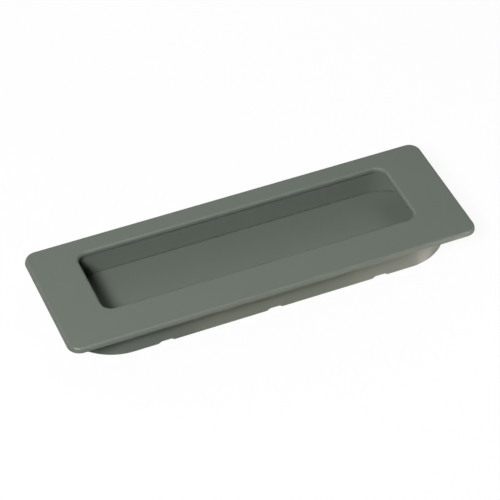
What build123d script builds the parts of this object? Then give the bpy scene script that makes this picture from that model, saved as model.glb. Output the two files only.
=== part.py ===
from build123d import *
import os

# A furniture pull that is let into a panel. A cast housing carries a flange, and behind the
# flange an undercut finger recess with round ends; a separate plate closes the back.
# Millimetres. X runs along the pull, +Z out of the panel, and the back rim lies on z = 0.

# Overall size
flange_length = 150.0
flange_width = 50.4
overall_depth = 14.0

# Flange; its rim leans in towards the front by the casting's draft
flange_thickness = 1.9
flange_corner_radius = 4.5
flange_draft = 18.0
hand_edge_radius = 0.75

# Outer shell behind the flange, with round ends; its middle lies a little to +X of the flange's
shell_length = 144.0
shell_width = 40.6
shell_wall = 1.75
shell_offset = 0.3
rim_edge_break = 0.3

# Finger recess
recess_depth = 12.3
recess_corner_radius = 0.3

# Opening in the flange, nearer to the far side so that the near lip is the wide one to pull on
opening_length = 115.8
opening_width = 28.6
opening_offset = 3.3
opening_corner_radius = 3.7
opening_edge_radius = 1.0
lip_edge_break = 0.15

# Back plate and the ledge that it sits on
plate_thickness = 1.5
ledge_width = 0.9
ledge_edge_radius = 0.6
plate_clearance = 0.1

# Staking notches in the back rim, three along each side
rim_notch_spacing = 39.8
rim_notch_mouth = 5.7
rim_notch_flat = 3.6
rim_notch_depth = 0.75

# Shallow grooves across the underside of the flange, two along each side
seat_groove_spacing = 51.4
seat_groove_width = 4.1
seat_groove_depth = 0.3

# Worked out from the above
seat_height = overall_depth - flange_thickness
floor_height = overall_depth - recess_depth
recess_length = shell_length - 2 * shell_wall
recess_width = shell_width - 2 * shell_wall
ledge_length = recess_length + 2 * ledge_width
ledge_span = recess_width + 2 * ledge_width
shell_centre = (shell_offset, 0)
opening_centre = (0, opening_offset)


def edges_at(part, height):
    """Edges of the part that lie level at the given height."""
    return part.edges().filter_by_position(Axis.Z, height, height)


def edges_within(part, height, centre, reach_x, reach_y):
    """Level edges at the given height whose middles lie within reach of a centre."""
    return [
        edge
        for edge in edges_at(part, height)
        if abs(edge.center().X - centre[0]) < reach_x and abs(edge.center().Y - centre[1]) < reach_y
    ]


def opening_edges(part, height):
    """The edges round the opening at the given height."""
    reach_x = opening_length / 2 + lip_edge_break
    reach_y = opening_width / 2 + lip_edge_break
    return edges_within(part, height, opening_centre, reach_x, reach_y)


def ledge_edges(part):
    """The ledge's inner edge, where the recess's wall meets the plate."""
    reach_x = (recess_length + ledge_width) / 2
    reach_y = (recess_width + ledge_width) / 2
    return edges_within(part, floor_height, shell_centre, reach_x, reach_y)


def flange():
    """The flange plate: leaning rim, rounded front edges, the opening and the underside's grooves."""
    with BuildPart() as plate:
        with BuildSketch(Plane.XY.offset(seat_height)):
            RectangleRounded(flange_length, flange_width, flange_corner_radius)
        extrude(amount=flange_thickness, taper=flange_draft)
        fillet(edges_at(plate.part, overall_depth), hand_edge_radius)
        with BuildSketch(Plane.XY.offset(seat_height)):
            with Locations(opening_centre):
                RectangleRounded(opening_length, opening_width, opening_corner_radius)
        extrude(amount=flange_thickness, mode=Mode.SUBTRACT)
        fillet(opening_edges(plate.part, overall_depth), opening_edge_radius)
        with BuildSketch(Plane.XY.offset(seat_height)):
            with GridLocations(seat_groove_spacing, 0, 2, 1):
                Rectangle(seat_groove_width, flange_width)
        extrude(amount=seat_groove_depth, mode=Mode.SUBTRACT)
    return plate.part


def shell():
    """The block behind the flange, with round ends; it closes the grooves at their inner end."""
    with BuildPart() as block:
        with BuildSketch():
            with Locations(shell_centre):
                SlotOverall(shell_length, shell_width)
        extrude(amount=seat_height + seat_groove_depth)
        fillet(edges_at(block.part, 0), rim_edge_break)
        with BuildSketch(Plane.XY.offset(seat_height)):
            with Locations(opening_centre):
                RectangleRounded(opening_length, opening_width, opening_corner_radius)
        extrude(amount=seat_groove_depth, mode=Mode.SUBTRACT)
    return block.part


def recess():
    """The space inside the casting: the plate's seat and the undercut finger space."""
    with BuildPart() as space:
        with BuildSketch(Plane.XY.offset(floor_height)):
            with Locations(shell_centre):
                SlotOverall(recess_length, recess_width)
        extrude(amount=seat_height - floor_height)
        fillet(edges_at(space.part, seat_height), recess_corner_radius)
        with BuildSketch():
            with Locations(shell_centre):
                SlotOverall(ledge_length, ledge_span)
        extrude(amount=floor_height)
        fillet(ledge_edges(space.part), ledge_edge_radius)
    return space.part


def rim_notch():
    """One staking notch: a shallow trapezoid in the rim's edge, through both long walls."""
    with BuildPart() as notch:
        with BuildSketch(Plane.XZ):
            with BuildLine():
                Polyline(
                    (-rim_notch_mouth / 2, 0),
                    (-rim_notch_flat / 2, rim_notch_depth),
                    (rim_notch_flat / 2, rim_notch_depth),
                    (rim_notch_mouth / 2, 0),
                    close=True,
                )
            make_face()
        extrude(amount=flange_width / 2, both=True)
    return notch.part


def housing():
    """The casting: flange and shell in one, less the recess and the rim's notches."""
    with BuildPart() as casting:
        add(flange())
        add(shell())
        add(recess(), mode=Mode.SUBTRACT)
        fillet(opening_edges(casting.part, seat_height), lip_edge_break)
        with GridLocations(rim_notch_spacing, 0, 3, 1):
            add(rim_notch(), mode=Mode.SUBTRACT)
    return casting.part


def back_plate():
    """The flat plate that makes the recess's floor, let into the back against the ledge."""
    with BuildPart() as plate:
        with BuildSketch(Plane.XY.offset(floor_height - plate_thickness)):
            with Locations(shell_centre):
                SlotOverall(ledge_length - 2 * plate_clearance, ledge_span - 2 * plate_clearance)
        extrude(amount=plate_thickness)
    return plate.part


if __name__ == "__main__":
    os.makedirs("parts", exist_ok=True)
    export_step(housing(), "parts/housing.step")
    export_step(back_plate(), "parts/back_plate.step")
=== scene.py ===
"""The look of a recessed furniture pull: a powder-coated casting and the plate in its back.

Both pieces are surfaces of rings. A ring is the outline of the pull at one height, a rounded
rectangle or a slot with round ends, and a piece is the skin between rings that follow its section.
Lengths are in metres. X runs along the pull, and +Z points out of the panel towards the hand.
"""

import logging
import math
from dataclasses import dataclass
from enum import Enum
from typing import Any

import bmesh
import bpy
import numpy as np
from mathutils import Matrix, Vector

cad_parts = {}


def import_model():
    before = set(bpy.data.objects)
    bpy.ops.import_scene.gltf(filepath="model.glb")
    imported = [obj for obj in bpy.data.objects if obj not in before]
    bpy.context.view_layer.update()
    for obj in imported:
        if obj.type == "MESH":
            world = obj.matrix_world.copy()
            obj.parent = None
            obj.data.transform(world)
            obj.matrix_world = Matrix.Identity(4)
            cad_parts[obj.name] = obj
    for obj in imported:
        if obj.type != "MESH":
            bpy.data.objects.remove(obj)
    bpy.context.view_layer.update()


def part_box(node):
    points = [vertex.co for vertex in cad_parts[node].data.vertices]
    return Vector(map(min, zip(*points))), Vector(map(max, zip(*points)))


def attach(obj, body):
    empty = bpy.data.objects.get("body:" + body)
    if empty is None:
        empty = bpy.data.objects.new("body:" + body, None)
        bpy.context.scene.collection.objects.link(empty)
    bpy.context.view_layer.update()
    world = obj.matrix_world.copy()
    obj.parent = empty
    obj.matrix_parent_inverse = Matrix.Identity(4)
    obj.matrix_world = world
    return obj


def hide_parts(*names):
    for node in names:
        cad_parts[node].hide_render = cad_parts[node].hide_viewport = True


Colour = tuple[float, float, float]

LOG = logging.getLogger("recessed_pull")
MM = 0.001
WHITE: Colour = (1.0, 1.0, 1.0)
NOISE_MEAN = 0.5
# Faces that meet at more than this angle in degrees keep a sharp edge
SHARP_ANGLE = 32.0
# Points nearer than this are one point, and columns that agree to these decimals one column
MERGE_DISTANCE = 1e-7
COLUMN_DECIMALS = 7
# The point on the flange's face that the camera and the lamps look at, in plan
AIM_PLAN = (-2.15 * MM, -3.59 * MM)


class Relief(Enum):
    """What is cut across a ring's long sides."""

    NONE = "none"
    RIM_NOTCHES = "rim notches"
    SEAT_GROOVES = "seat grooves"


@dataclass(frozen=True)
class Outline:
    """A rounded rectangle in plan; it is a slot where the corner takes the whole half width."""

    half_length: float
    half_width: float
    corner: float
    centre_x: float = 0.0
    centre_y: float = 0.0

    @property
    def is_slot(self) -> bool:
        """Whether the two corners at each end meet in one half circle."""
        return self.corner >= self.half_width

    def grown(self, distance: float) -> "Outline":
        """The outline moved outwards by a distance, with its corners round the same centres."""
        return Outline(
            self.half_length + distance,
            self.half_width + distance,
            self.corner + distance,
            self.centre_x,
            self.centre_y,
        )


@dataclass(frozen=True)
class Ring:
    """One outline at one height, with the cuts that run across it."""

    outline: Outline
    height: float
    relief: Relief = Relief.NONE


def soft_positive(value: np.ndarray, ease: float) -> np.ndarray:
    """The value where it is above zero, else zero, with the corner eased into a hyperbola."""
    return (value + np.sqrt(value**2 + ease**2)) / 2


@dataclass(frozen=True)
class Cut:
    """A row of equal trapezoid cuts along X, with softened corners."""

    centres: tuple[float, ...]
    mouth: float
    flat: float
    depth: float
    softness: float
    # How many softnesses the columns reach to each side of a corner, and how many there are
    station_reach: float = 2.0
    station_count: int = 5

    def rise(self, x: np.ndarray) -> np.ndarray:
        """How far the cuts lift an edge: each one a ramp up, a flat and a ramp down.

        The share of its ramp that a place has climbed is its distance in from the mouth over the
        ramp's length. A soft clip keeps it between 0 and 1, and the depth times it is the rise.

        Args:
            x: Places along the pull.

        Returns:
            The rise at each place.
        """
        distance = np.abs(x[:, None] - np.array(self.centres)[None, :]).min(axis=1)
        ramp = (self.mouth - self.flat) / 2
        ease = self.softness / ramp
        climbed = soft_positive((self.mouth / 2 - distance) / ramp, ease)
        return self.depth * np.maximum(1 - soft_positive(1 - climbed, ease), 0.0)

    def stations(self) -> np.ndarray:
        """Places along X where the cuts need columns: close together at each of their corners.

        Returns:
            The places, in no order.
        """
        corners = np.array([-self.mouth, -self.flat, self.flat, self.mouth]) / 2
        reach = np.linspace(-self.station_reach, self.station_reach, self.station_count)
        spread = reach * self.softness
        return (np.array(self.centres)[:, None, None] + corners[None, :, None] + spread).ravel()


def quarter_circle(centre: tuple[float, float], radius: float, steps: int) -> np.ndarray:
    """Points of a quarter circle, from its top clockwise to its right side.

    Args:
        centre: X and Y of the circle's centre.
        radius: The circle's radius.
        steps: How many steps the arc has.

    Returns:
        An array of X and Y, with both ends included.
    """
    angle = np.linspace(math.pi / 2, 0.0, steps + 1)
    return np.column_stack(
        [centre[0] + radius * np.cos(angle), centre[1] + radius * np.sin(angle)]
    )


@dataclass
class RingSkin:
    """Turns a list of rings into a mesh; every ring has the same columns.

    A column along the middle keeps its X on every ring. The columns of a quarter share out the way
    round its corner: the whole arc of a slot, or straight, arc and straight of a rectangle.
    """

    middle_half: float
    cuts: dict[Relief, Cut]
    middle_columns: int = 48
    corner_columns: int = 20
    # How far before its arc a straight side has a column of its own, which keeps it flat
    hold: float = 0.12 * MM

    def middle_x(self) -> np.ndarray:
        """Column places along the middle: an even spacing and the stations of every cut.

        Returns:
            The places in rising order, each one once.
        """
        even = np.linspace(-self.middle_half, self.middle_half, self.middle_columns + 1)
        stations = [cut.stations() for cut in self.cuts.values()]
        places = np.unique(np.round(np.concatenate([even, *stations]), COLUMN_DECIMALS))
        return places[np.abs(places) <= self.middle_half]

    def quarter(self, outline: Outline) -> np.ndarray:
        """Points of one quarter of an outline, from its long side at the middle's end to its tip.

        A rectangle has two points on each straight and its corner's arc between them. A slot has
        as many points in all, evenly round the quarter circle of its end.

        Args:
            outline: The outline, taken as if it were centred.

        Returns:
            An array of X and Y, with both ends included.
        """
        corner_x = outline.half_length - outline.corner
        corner_y = outline.half_width - outline.corner
        first = [(self.middle_half, outline.half_width), (corner_x - self.hold, outline.half_width)]
        last = [(outline.half_length, corner_y - self.hold), (outline.half_length, 0.0)]
        if outline.is_slot:
            steps = self.corner_columns + len(first) + len(last)
            centre = (outline.half_length - outline.half_width, 0.0)
            return quarter_circle(centre, outline.half_width, steps)
        arc = quarter_circle((corner_x, corner_y), outline.corner, self.corner_columns)
        return np.concatenate([first, arc, last])

    def points(self, ring: Ring) -> np.ndarray:
        """The ring's points, anticlockwise from its tip on +X.

        The quarter is mirrored for each corner and moved to the outline's centre, the middle's
        columns join the quarters, and the ring's cuts lift its height by their rise at each X.

        Args:
            ring: The outline, its height and its cuts.

        Returns:
            An array of X, Y and Z.
        """
        outline = ring.outline
        centre = (outline.centre_x, outline.centre_y)
        quarter = self.quarter(outline)
        middle = self.middle_x()[1:-1]
        far_y = np.full(middle.size, outline.centre_y + outline.half_width)
        near_y = np.full(middle.size, outline.centre_y - outline.half_width)
        plan = np.concatenate(
            [
                quarter[::-1] + centre,
                np.column_stack([middle[::-1], far_y]),
                quarter[:-1] * (-1, 1) + centre,
                quarter[::-1] * (-1, -1) + centre,
                np.column_stack([middle, near_y]),
                quarter[:-1] * (1, -1) + centre,
            ]
        )
        height = np.full(len(plan), ring.height)
        cut = self.cuts.get(ring.relief)
        if cut is not None:
            height = height + cut.rise(plan[:, 0])
        return np.column_stack([plan, height])

    def mesh(self, name: str, rings: list[Ring], closed: bool) -> bpy.types.Mesh:
        """A mesh of the quads between each ring and the next, and each column and the next.

        Args:
            name: The mesh's name.
            rings: The rings in order along the section.
            closed: Whether the last ring joins the first again.

        Returns:
            The mesh.
        """
        grid = np.stack([self.points(ring) for ring in rings])
        ring_count, column_count = grid.shape[:2]
        number = np.arange(ring_count * column_count).reshape(ring_count, column_count)
        here = number if closed else number[:-1]
        further = np.roll(number, -1, axis=0) if closed else number[1:]
        corners = [here, further, np.roll(further, -1, axis=1), np.roll(here, -1, axis=1)]
        quads = np.stack(corners, axis=-1).reshape(-1, 4)
        mesh = bpy.data.meshes.new(name)
        mesh.from_pydata(grid.reshape(-1, 3).tolist(), [], quads.tolist())
        mesh.update()
        return mesh


def bend(
    outline: Outline,
    centre: tuple[float, float],
    radius: float,
    sweep: tuple[float, float],
    steps: int,
    relief: Relief = Relief.NONE,
) -> list[Ring]:
    """Rings round an edge of the section: points of a circle, each one an outline grown that far.

    Args:
        outline: The outline that the edge follows.
        centre: How far outside the outline the circle's centre lies, and its height.
        radius: The circle's radius.
        sweep: Start and end angle in degrees, 0 pointing outwards and 90 upwards.
        steps: How many steps the arc has.
        relief: The cut that the rings follow.

    Returns:
        The rings in order.
    """
    angles = np.radians(np.linspace(sweep[0], sweep[1], steps + 1))
    outwards = centre[0] + radius * np.cos(angles)
    heights = centre[1] + radius * np.sin(angles)
    return [Ring(outline.grown(out), height, relief) for out, height in zip(outwards, heights)]


@dataclass
class Pull:
    """Sizes that both pieces share; the overall ones come from the frame."""

    length: float
    width: float
    depth: float
    flange_thickness: float = 1.9 * MM
    flange_corner: float = 4.5 * MM
    hand_edge: float = 0.75 * MM
    shell_length: float = 144.0 * MM
    shell_width: float = 40.6 * MM
    shell_offset: float = 0.3 * MM
    shell_wall: float = 1.75 * MM
    rim_edge: float = 0.3 * MM
    recess_depth: float = 12.3 * MM
    ceiling_edge: float = 0.3 * MM
    opening_length: float = 115.8 * MM
    opening_width: float = 28.6 * MM
    opening_offset: float = 3.3 * MM
    opening_corner: float = 3.7 * MM
    opening_edge: float = 1.0 * MM
    lip_edge: float = 0.15 * MM
    plate_thickness: float = 1.5 * MM
    plate_clearance: float = 0.1 * MM
    ledge_width: float = 0.9 * MM
    ledge_edge: float = 0.6 * MM

    @property
    def seat(self) -> float:
        """Height of the flange's underside."""
        return self.depth - self.flange_thickness

    @property
    def floor(self) -> float:
        """Height of the recess's floor."""
        return self.depth - self.recess_depth

    @property
    def flange(self) -> Outline:
        """The flange's outer outline."""
        return Outline(self.length / 2, self.width / 2, self.flange_corner)

    @property
    def shell(self) -> Outline:
        """The shell's outer outline."""
        half_width = self.shell_width / 2
        return Outline(self.shell_length / 2, half_width, half_width, self.shell_offset)

    @property
    def recess(self) -> Outline:
        """The recess's wall."""
        return self.shell.grown(-self.shell_wall)

    @property
    def plate_seat(self) -> Outline:
        """The wall round the back plate."""
        return self.recess.grown(self.ledge_width)

    @property
    def opening(self) -> Outline:
        """The opening's wall in the flange."""
        half_length, half_width = self.opening_length / 2, self.opening_width / 2
        return Outline(half_length, half_width, self.opening_corner, 0.0, self.opening_offset)

    @property
    def middle_half(self) -> float:
        """Half the straight part that every ring has on both sides, for the columns they share."""
        return (self.shell_length - self.shell_width) / 2 - 2 * self.shell_offset


@dataclass
class Housing:
    """The casting: lip, flange, shell, back rim, ledge and recess, as one closed skin."""

    pull: Pull
    notch_spacing: float = 39.8 * MM
    notch_mouth: float = 5.7 * MM
    notch_flat: float = 3.6 * MM
    notch_depth: float = 0.75 * MM
    notch_softness: float = 0.08 * MM
    groove_spacing: float = 51.4 * MM
    groove_width: float = 4.1 * MM
    groove_ramp: float = 0.1 * MM
    groove_depth: float = 0.3 * MM
    groove_softness: float = 0.03 * MM
    # How far the flange's side leans in where it meets the rounded edge, in degrees
    rim_lean: float = 29.0
    # Radii of the edges that look sharp, and of the root between the flange and the shell
    sharp_edge: float = 0.08 * MM
    root_radius: float = 0.25 * MM
    # How far beside a bend a flat side has a ring of its own, which keeps it flat
    hold: float = 0.05 * MM
    # Steps round each kind of edge
    hand_steps: int = 10
    crown_steps: int = 8
    ledge_steps: int = 6
    rim_steps: int = 5
    small_steps: int = 4
    inner_steps: int = 3

    def cuts(self) -> dict[Relief, Cut]:
        """The cuts across the long sides.

        Returns:
            The back rim's notches, and the grooves across the flange's underside.
        """
        notches = Cut(
            (-self.notch_spacing, 0.0, self.notch_spacing),
            self.notch_mouth,
            self.notch_flat,
            self.notch_depth,
            self.notch_softness,
        )
        grooves = Cut(
            (-self.groove_spacing / 2, self.groove_spacing / 2),
            self.groove_width + self.groove_ramp,
            self.groove_width - self.groove_ramp,
            self.groove_depth,
            self.groove_softness,
        )
        return {Relief.RIM_NOTCHES: notches, Relief.SEAT_GROOVES: grooves}

    def opening_rings(self) -> list[Ring]:
        """From the lip's lower edge up the opening's wall and over its rounded front edge.

        Returns:
            The rings in order.
        """
        pull, hold = self.pull, self.hold
        lip, edge = pull.lip_edge, pull.opening_edge
        wall_low = pull.seat + lip
        wall_high = pull.depth - edge
        lower = bend(pull.opening, (lip, wall_low), lip, (270, 180), self.small_steps)
        wall = [Ring(pull.opening, wall_low + hold), Ring(pull.opening, wall_high - hold)]
        upper = bend(pull.opening, (edge, wall_high), edge, (180, 90), self.hand_steps)
        return lower + wall + upper

    def flange_rings(self) -> list[Ring]:
        """Across the flange's face, over its rounded edge, down its side and in to the shell.

        The side is a shallow arc, its crown: upright at the underside, and leaning in where it runs
        into the rounded edge. The arc's radius is the side's height over the sine of the lean.

        Returns:
            The rings in order.
        """
        pull, hold, sharp = self.pull, self.hold, self.sharp_edge
        grooves = Relief.SEAT_GROOVES
        lean = math.radians(self.rim_lean)
        side_height = pull.flange_thickness - pull.hand_edge * (1 - math.sin(lean))
        crown = side_height / math.sin(lean)
        inset = crown * (1 - math.cos(lean)) + pull.hand_edge * math.cos(lean)
        face = [
            Ring(pull.opening.grown(pull.opening_edge + hold), pull.depth),
            Ring(pull.flange.grown(-inset - hold), pull.depth),
        ]
        edge_centre = (-inset, pull.depth - pull.hand_edge)
        edge_sweep = (90, self.rim_lean)
        edge = bend(pull.flange, edge_centre, pull.hand_edge, edge_sweep, self.hand_steps)
        # The side's arc ends above the grooves, and its first ring is the edge's last
        side_low = self.groove_depth + sharp + 2 * hold
        side_sweep = (self.rim_lean, math.degrees(math.asin(side_low / crown)))
        side = bend(pull.flange, (-crown, pull.seat), crown, side_sweep, self.crown_steps)[1:]
        corner_centre = (-sharp, pull.seat + sharp)
        corner = [Ring(pull.flange, pull.seat + sharp + hold, grooves)]
        corner += bend(pull.flange, corner_centre, sharp, (0, -90), self.small_steps, grooves)
        underside = [
            Ring(pull.flange.grown(-sharp - hold), pull.seat, grooves),
            Ring(pull.shell.grown(self.root_radius + hold), pull.seat, grooves),
        ]
        return face + edge + side + corner + underside

    def shell_rings(self) -> list[Ring]:
        """Down the shell from the root of the flange, and round the notched back rim.

        Returns:
            The rings in order.
        """
        pull, hold, sharp = self.pull, self.hold, self.sharp_edge
        notches = Relief.RIM_NOTCHES
        radius, round_edge = self.root_radius, pull.rim_edge
        root_low = pull.seat - radius
        root = bend(pull.shell, (radius, root_low), radius, (90, 180), self.small_steps)
        wall = [
            Ring(pull.shell, root_low - hold),
            Ring(pull.shell, round_edge + hold, notches),
        ]
        outer_centre = (-round_edge, round_edge)
        outer = bend(pull.shell, outer_centre, round_edge, (0, -90), self.rim_steps, notches)
        rim = [
            Ring(pull.shell.grown(-round_edge - hold), 0.0, notches),
            Ring(pull.plate_seat.grown(sharp + hold), 0.0, notches),
        ]
        inner_sweep = (-90, -180)
        inner = bend(pull.plate_seat, (sharp, sharp), sharp, inner_sweep, self.inner_steps, notches)
        return root + wall + outer + rim + inner

    def recess_rings(self) -> list[Ring]:
        """Up beside the plate, over the ledge, and up the recess's wall to the lip's underside.

        Returns:
            The rings in order.
        """
        pull, hold = self.pull, self.hold
        ledge_edge, ceiling_edge = pull.ledge_edge, pull.ceiling_edge
        ceiling_low = pull.seat - ceiling_edge
        seat_wall = [
            Ring(pull.plate_seat, self.sharp_edge + hold, Relief.RIM_NOTCHES),
            Ring(pull.plate_seat, pull.floor),
        ]
        ledge_centre = (ledge_edge, pull.floor + ledge_edge)
        ledge = bend(pull.recess, ledge_centre, ledge_edge, (-90, -180), self.ledge_steps)
        wall = [
            Ring(pull.recess, pull.floor + ledge_edge + hold),
            Ring(pull.recess, ceiling_low - hold),
        ]
        top_centre = (-ceiling_edge, ceiling_low)
        top = bend(pull.recess, top_centre, ceiling_edge, (0, 90), self.small_steps)
        ceiling = [Ring(pull.opening.grown(pull.lip_edge + hold), pull.seat)]
        return seat_wall + ledge + wall + top + ceiling

    def build(self, coat: bpy.types.Material) -> None:
        """Adds the coated casting, in place of the frame's solid.

        Args:
            coat: Its finish.
        """
        skin = RingSkin(self.pull.middle_half, self.cuts())
        front = self.opening_rings() + self.flange_rings()
        back = self.shell_rings() + self.recess_rings()
        mesh = skin.mesh("cast_housing", front + back, closed=True)
        add_piece("cast_housing", mesh, "housing", coat)


@dataclass
class BackPlate:
    """The plate in the back, a skin from the middle of its front face to that of its back face."""

    pull: Pull
    edge: float = 0.12 * MM
    edge_steps: int = 3
    hold: float = 0.05 * MM

    def rings(self) -> list[Ring]:
        """Front face, rounded edge, side, rounded edge and back face.

        Each face runs in to a spine, an outline without width that closes it along its middle.

        Returns:
            The rings in order.
        """
        pull, edge, steps = self.pull, self.edge, self.edge_steps
        outline = pull.plate_seat.grown(-pull.plate_clearance)
        face = outline.grown(-edge - self.hold)
        spine = Outline(pull.middle_half, 0.0, 0.0, pull.shell_offset)
        high, low = pull.floor, pull.floor - pull.plate_thickness
        front = [Ring(spine, high), Ring(face, high)]
        upper = bend(outline, (-edge, high - edge), edge, (90, 0), steps)
        lower = bend(outline, (-edge, low + edge), edge, (0, -90), steps)
        back = [Ring(face, low), Ring(spine, low)]
        return front + upper + lower + back

    def build(self, coat: bpy.types.Material) -> None:
        """Adds the coated plate, in place of the frame's solid.

        Args:
            coat: Its finish.
        """
        mesh = RingSkin(self.pull.middle_half, {}).mesh("recess_floor", self.rings(), closed=False)
        add_piece("recess_floor", mesh, "back_plate", coat)


def add_object(name: str, data: Any) -> bpy.types.Object:
    """Adds an object to the scene.

    Args:
        name: The object's name.
        data: Its mesh, light or camera.

    Returns:
        The object, at the origin.
    """
    item = bpy.data.objects.new(name, data)
    bpy.context.scene.collection.objects.link(item)
    return item


def add_piece(
    name: str, mesh: bpy.types.Mesh, node: str, coat: bpy.types.Material
) -> None:
    """Closes a mesh, shades it, coats it, and hands it to the frame in place of a solid.

    Args:
        name: The piece's name.
        mesh: Its mesh, in place.
        node: The node that it stands for.
        coat: Its finish.
    """
    merge_doubles(mesh)
    mesh.shade_smooth()
    mesh.set_sharp_from_angle(angle=math.radians(SHARP_ANGLE))
    piece = add_object(name, mesh)
    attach(piece, "root")
    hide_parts(node)
    mesh.materials.append(coat)
    LOG.info("%s: %d faces", name, len(mesh.polygons))


def merge_doubles(mesh: bpy.types.Mesh) -> None:
    """Joins points that fall together, so that poles and seams are closed.

    Args:
        mesh: The mesh, which is changed in place.
    """
    work = bmesh.new()
    work.from_mesh(mesh)
    bmesh.ops.remove_doubles(work, verts=work.verts, dist=MERGE_DISTANCE)
    bmesh.ops.dissolve_degenerate(work, edges=work.edges, dist=MERGE_DISTANCE)
    work.to_mesh(mesh)
    work.free()


class Socket:
    """A shader output that Python's operators work on; each one adds a Math node."""

    def __init__(self, graph: "Graph", socket: bpy.types.NodeSocket) -> None:
        """Keeps the graph that the socket belongs to."""
        self.graph = graph
        self.socket = socket

    def _math(self, operation: str, first: Any, second: Any) -> "Socket":
        """A Math node of two values."""
        node = self.graph.node("ShaderNodeMath", {"operation": operation}, {0: first, 1: second})
        return self.graph.out(node)

    def __add__(self, other: Any) -> "Socket":
        """Sum."""
        return self._math("ADD", self, other)

    __radd__ = __add__

    def __sub__(self, other: Any) -> "Socket":
        """Difference."""
        return self._math("SUBTRACT", self, other)

    def __rsub__(self, other: Any) -> "Socket":
        """Difference from a number."""
        return self._math("SUBTRACT", other, self)

    def __mul__(self, other: Any) -> "Socket":
        """Product."""
        return self._math("MULTIPLY", self, other)

    __rmul__ = __mul__


class Graph:
    """A material's node tree, filled by one method."""

    def __init__(self, material: bpy.types.Material) -> None:
        """Starts with an empty tree.

        Args:
            material: The material that the tree belongs to.
        """
        material.use_nodes = True
        self.tree = material.node_tree
        self.tree.nodes.clear()

    def node(self, kind: str, settings: dict[str, Any], inputs: dict[Any, Any]) -> bpy.types.Node:
        """Adds a node.

        Args:
            kind: The node's type.
            settings: Its properties, which are set first.
            inputs: Values or sockets for its inputs, by name or number.

        Returns:
            The new node.
        """
        node = self.tree.nodes.new(kind)
        for name, value in settings.items():
            setattr(node, name, value)
        for name, value in inputs.items():
            if isinstance(value, Socket):
                self.tree.links.new(value.socket, node.inputs[name])
            else:
                node.inputs[name].default_value = value
        return node

    def out(self, node: bpy.types.Node, name: Any = 0) -> Socket:
        """One output of a node, ready for sums."""
        return Socket(self, node.outputs[name])


@dataclass(frozen=True)
class PowderCoat:
    """A matt powder coat: one even colour, faint mottling and the fine grain of baked powder."""

    colour: Colour = (0.159, 0.184, 0.156)
    mottle: float = 0.05
    roughness: float = 0.38
    roughness_swing: float = 0.1
    specular_level: float = 0.1
    patch_size: float = 18.0 * MM
    patch_detail: float = 3.0
    grain_size: float = 0.35 * MM
    grain_detail: float = 2.0
    grain_height: float = 0.004 * MM
    peel_size: float = 2.2 * MM
    peel_detail: float = 1.0
    peel_height: float = 0.006 * MM
    noise_roughness: float = 0.5

    def material(self, name: str) -> bpy.types.Material:
        """The finish as a material on Object coordinates.

        Large patches and the grain each swing the colour's brightness about its middle, the grain
        swings the roughness, and the grain and the slower peel add up to the bump's height.

        Args:
            name: The material's name.

        Returns:
            The material.
        """
        material = bpy.data.materials.new(name)
        graph = Graph(material)
        place = graph.out(graph.node("ShaderNodeTexCoord", {}, {}), "Object")

        def noise(size: float, detail: float) -> Socket:
            """Noise on the piece's own coordinates.

            Args:
                size: The size of its spots.
                detail: How many finer layers it has.

            Returns:
                Its level, about a middle of one half.
            """
            inputs = {
                "Vector": place,
                "Scale": 1 / size,
                "Detail": detail,
                "Roughness": self.noise_roughness,
            }
            return graph.out(graph.node("ShaderNodeTexNoise", {}, inputs))

        patches = noise(self.patch_size, self.patch_detail)
        grain = noise(self.grain_size, self.grain_detail)
        peel = noise(self.peel_size, self.peel_detail)
        shade = 1 + (patches - NOISE_MEAN) * self.mottle + (grain - NOISE_MEAN) * self.mottle
        colour_inputs = {0: self.colour, "Scale": shade}
        colour = graph.node("ShaderNodeVectorMath", {"operation": "SCALE"}, colour_inputs)
        height = grain * self.grain_height + peel * self.peel_height
        bump_inputs = {"Strength": 1.0, "Distance": 1.0, "Height": height}
        bump = graph.node("ShaderNodeBump", {}, bump_inputs)
        surface_inputs = {
            "Base Color": graph.out(colour),
            "Roughness": self.roughness + (grain - NOISE_MEAN) * self.roughness_swing,
            "Specular IOR Level": self.specular_level,
            "Normal": graph.out(bump),
        }
        surface = graph.node("ShaderNodeBsdfPrincipled", {}, surface_inputs)
        graph.node("ShaderNodeOutputMaterial", {}, {"Surface": graph.out(surface)})
        return material


def direction(azimuth: float, elevation: float) -> Vector:
    """A unit vector: its plan turned from +X towards +Y, and raised above the floor.

    Args:
        azimuth: The turn in degrees.
        elevation: The rise in degrees.

    Returns:
        The vector.
    """
    turn, rise = math.radians(azimuth), math.radians(elevation)
    level = math.cos(rise)
    return Vector((math.cos(turn) * level, math.sin(turn) * level, math.sin(rise)))


def add_area_light(
    name: str, sides: tuple[float, float], power: float, colour: Colour
) -> bpy.types.Object:
    """Adds a rectangular area light.

    Args:
        name: The light's name.
        sides: The rectangle's two sides.
        power: Its power in watts.
        colour: Its colour.

    Returns:
        The light's object, still to be placed.
    """
    light = bpy.data.lights.new(name, "AREA")
    light.shape = "RECTANGLE"
    light.size, light.size_y = sides
    light.energy = power
    light.color = colour
    return add_object(name, light)


@dataclass(frozen=True)
class Lamp:
    """A square softbox that faces the pull; a gloss-only one makes highlights and no more."""

    name: str
    azimuth: float
    elevation: float
    size: float
    power: float
    colour: Colour = WHITE
    distance: float = 1.0
    gloss_only: bool = False

    def build(self, aim: Vector) -> None:
        """Adds the lamp.

        Args:
            aim: The point that it is turned towards, and that its distance is measured from.
        """
        away = direction(self.azimuth, self.elevation)
        lamp = add_area_light(self.name, (self.size, self.size), self.power, self.colour)
        lamp.location = aim + away * self.distance
        lamp.rotation_euler = away.to_track_quat("Z", "Y").to_euler()
        if self.gloss_only:
            # Light that has been thrown on by one surface doesn't reach the next
            lamp.data.cycles.max_bounces = 0
            lamp.visible_diffuse = False


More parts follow.
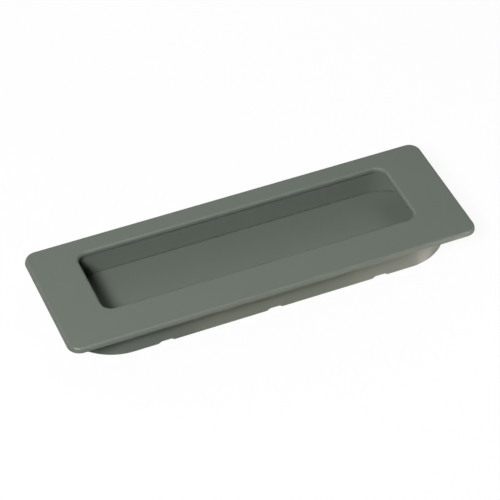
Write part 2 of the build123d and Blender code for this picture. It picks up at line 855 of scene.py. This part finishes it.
@dataclass(frozen=True)
class FloorCard:
    """A bright card on the floor, which throws light up at the pull; the camera misses it."""

    name: str
    low: tuple[float, float]
    high: tuple[float, float]
    brightness: float
    colour: Colour
    height: float = 0.1 * MM

    def build(self) -> None:
        """Adds the card as a light that faces up, with its brightness as its radiance."""
        length = self.high[0] - self.low[0]
        width = self.high[1] - self.low[1]
        power = self.brightness * math.pi * length * width
        card = add_area_light(self.name, (length, width), power, self.colour)
        card.location = (self.low[0] + length / 2, self.low[1] + width / 2, self.height)
        card.rotation_euler = (math.pi, 0.0, 0.0)
        card.visible_camera = False


# Name, azimuth, elevation, size and power
LAMPS = (
    Lamp("key", 225.0, 43.6, 0.25, 9.9),
    Lamp("rear", 110.0, 20.0, 0.6, 3.7),
    Lamp("rear_high", 60.0, 45.0, 0.5, 0.8),
    Lamp("top", 15.0, 58.0, 0.7, 0.95),
    Lamp("low_front", 270.0, 5.0, 0.2, 0.8),
    Lamp("low_right", 325.0, -2.0, 0.018, 0.04, (1.0, 0.88, 0.8), distance=0.143),
    Lamp("glint_left", 213.0, 26.75, 0.036, 0.62, distance=0.178, gloss_only=True),
    Lamp("glint_front", 277.0, 50.0, 0.25, 13.5, gloss_only=True),
)

# Name, two opposite corners, brightness and colour
CARDS = (
    FloorCard("middle_card", (-30 * MM, -70 * MM), (30 * MM, -20 * MM), 0.36, (1.0, 0.79, 0.6)),
    FloorCard("front_card", (30 * MM, -70 * MM), (55 * MM, -20 * MM), 0.78, (1.0, 0.8, 0.74)),
    FloorCard("warm_card", (55 * MM, -46 * MM), (67 * MM, -19.5 * MM), 2.5, (1.0, 0.78, 0.8)),
    FloorCard("corner_card", (68 * MM, -40 * MM), (80 * MM, -16 * MM), 1.2, (1.0, 0.95, 0.95)),
)


@dataclass
class Studio:
    """The pale floor, the lamps and the camera."""

    aim: Vector
    # The camera's direction from the aim, its distance, and its lens as solved from the photograph
    azimuth: float = -113.17
    elevation: float = 43.83
    distance: float = 0.7803
    focal_pixels: float = 2278.0
    frame_pixels: float = 500.0
    sensor: float = 36.0
    clip_start: float = 0.05
    clip_end: float = 50.0
    # The floor's half side, what it throws back at the pull, and the share of glow that is seen
    floor_half: float = 6.0
    floor_bounce: float = 0.02
    floor_glow: float = 0.93

    def camera(self) -> None:
        """The camera at the photograph's viewing angle."""
        away = direction(self.azimuth, self.elevation)
        lens = bpy.data.cameras.new("camera")
        lens.sensor_width = self.sensor
        lens.lens = self.focal_pixels / self.frame_pixels * self.sensor
        lens.clip_start = self.clip_start
        lens.clip_end = self.clip_end
        camera = add_object("camera", lens)
        camera.location = self.aim + away * self.distance
        camera.rotation_euler = away.to_track_quat("Z", "Y").to_euler()
        bpy.context.scene.camera = camera

    def floor(self) -> None:
        """A pale floor that keeps the pull's shadow and stays white to the camera."""
        half = self.floor_half
        corners = [(-half, -half, 0.0), (half, -half, 0.0), (half, half, 0.0), (-half, half, 0.0)]
        mesh = bpy.data.meshes.new("floor")
        mesh.from_pydata(corners, [], [(0, 1, 2, 3)])
        mesh.materials.append(self.floor_material())
        floor = add_object("floor", mesh)

    def floor_material(self) -> bpy.types.Material:
        """Paper whose colour is dark to the light it throws back, and white with glow where seen.

        Returns:
            The material.
        """
        material = bpy.data.materials.new("white_paper")
        graph = Graph(material)
        white = (*WHITE, 1.0)
        grey = (self.floor_bounce, self.floor_bounce, self.floor_bounce, 1.0)
        paper = graph.out(graph.node("ShaderNodeBsdfDiffuse", {}, {"Color": grey}))
        seen_paper = graph.out(graph.node("ShaderNodeBsdfDiffuse", {}, {"Color": white}))
        glow = graph.out(graph.node("ShaderNodeEmission", {}, {"Color": white, "Strength": 1.0}))
        mixed = {0: self.floor_glow, 1: seen_paper, 2: glow}
        seen = graph.out(graph.node("ShaderNodeMixShader", {}, mixed))
        path = graph.node("ShaderNodeLightPath", {}, {})
        rays = ("Is Camera Ray", "Is Glossy Ray", "Is Transmission Ray")
        visible = sum(graph.out(path, name) for name in rays)
        surface = graph.node("ShaderNodeMixShader", {}, {0: visible, 1: paper, 2: seen})
        graph.node("ShaderNodeOutputMaterial", {}, {"Surface": graph.out(surface)})
        return material

    def world(self) -> None:
        """No light but the lamps."""
        world = bpy.data.worlds.new("studio")
        world.use_nodes = True
        world.node_tree.nodes["Background"].inputs["Strength"].default_value = 0.0
        bpy.context.scene.world = world

    def build(self) -> None:
        """Sets up everything round the pull."""
        self.camera()
        self.floor()
        self.world()
        for lamp in LAMPS:
            lamp.build(self.aim)
        for card in CARDS:
            card.build()
        bpy.context.scene.view_settings.view_transform = "Standard"


def main() -> None:
    """Builds the pull on its frame, and the studio round it."""
    logging.basicConfig(level=logging.INFO)
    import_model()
    low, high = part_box("housing")
    pull = Pull(high[0] - low[0], high[1] - low[1], high[2] - low[2])
    coat = PowderCoat().material("grey_green_powder_coat")
    Housing(pull).build(coat)
    BackPlate(pull).build(coat)
    Studio(Vector((*AIM_PLAN, pull.depth))).build()


if __name__ == "__main__":
    main()
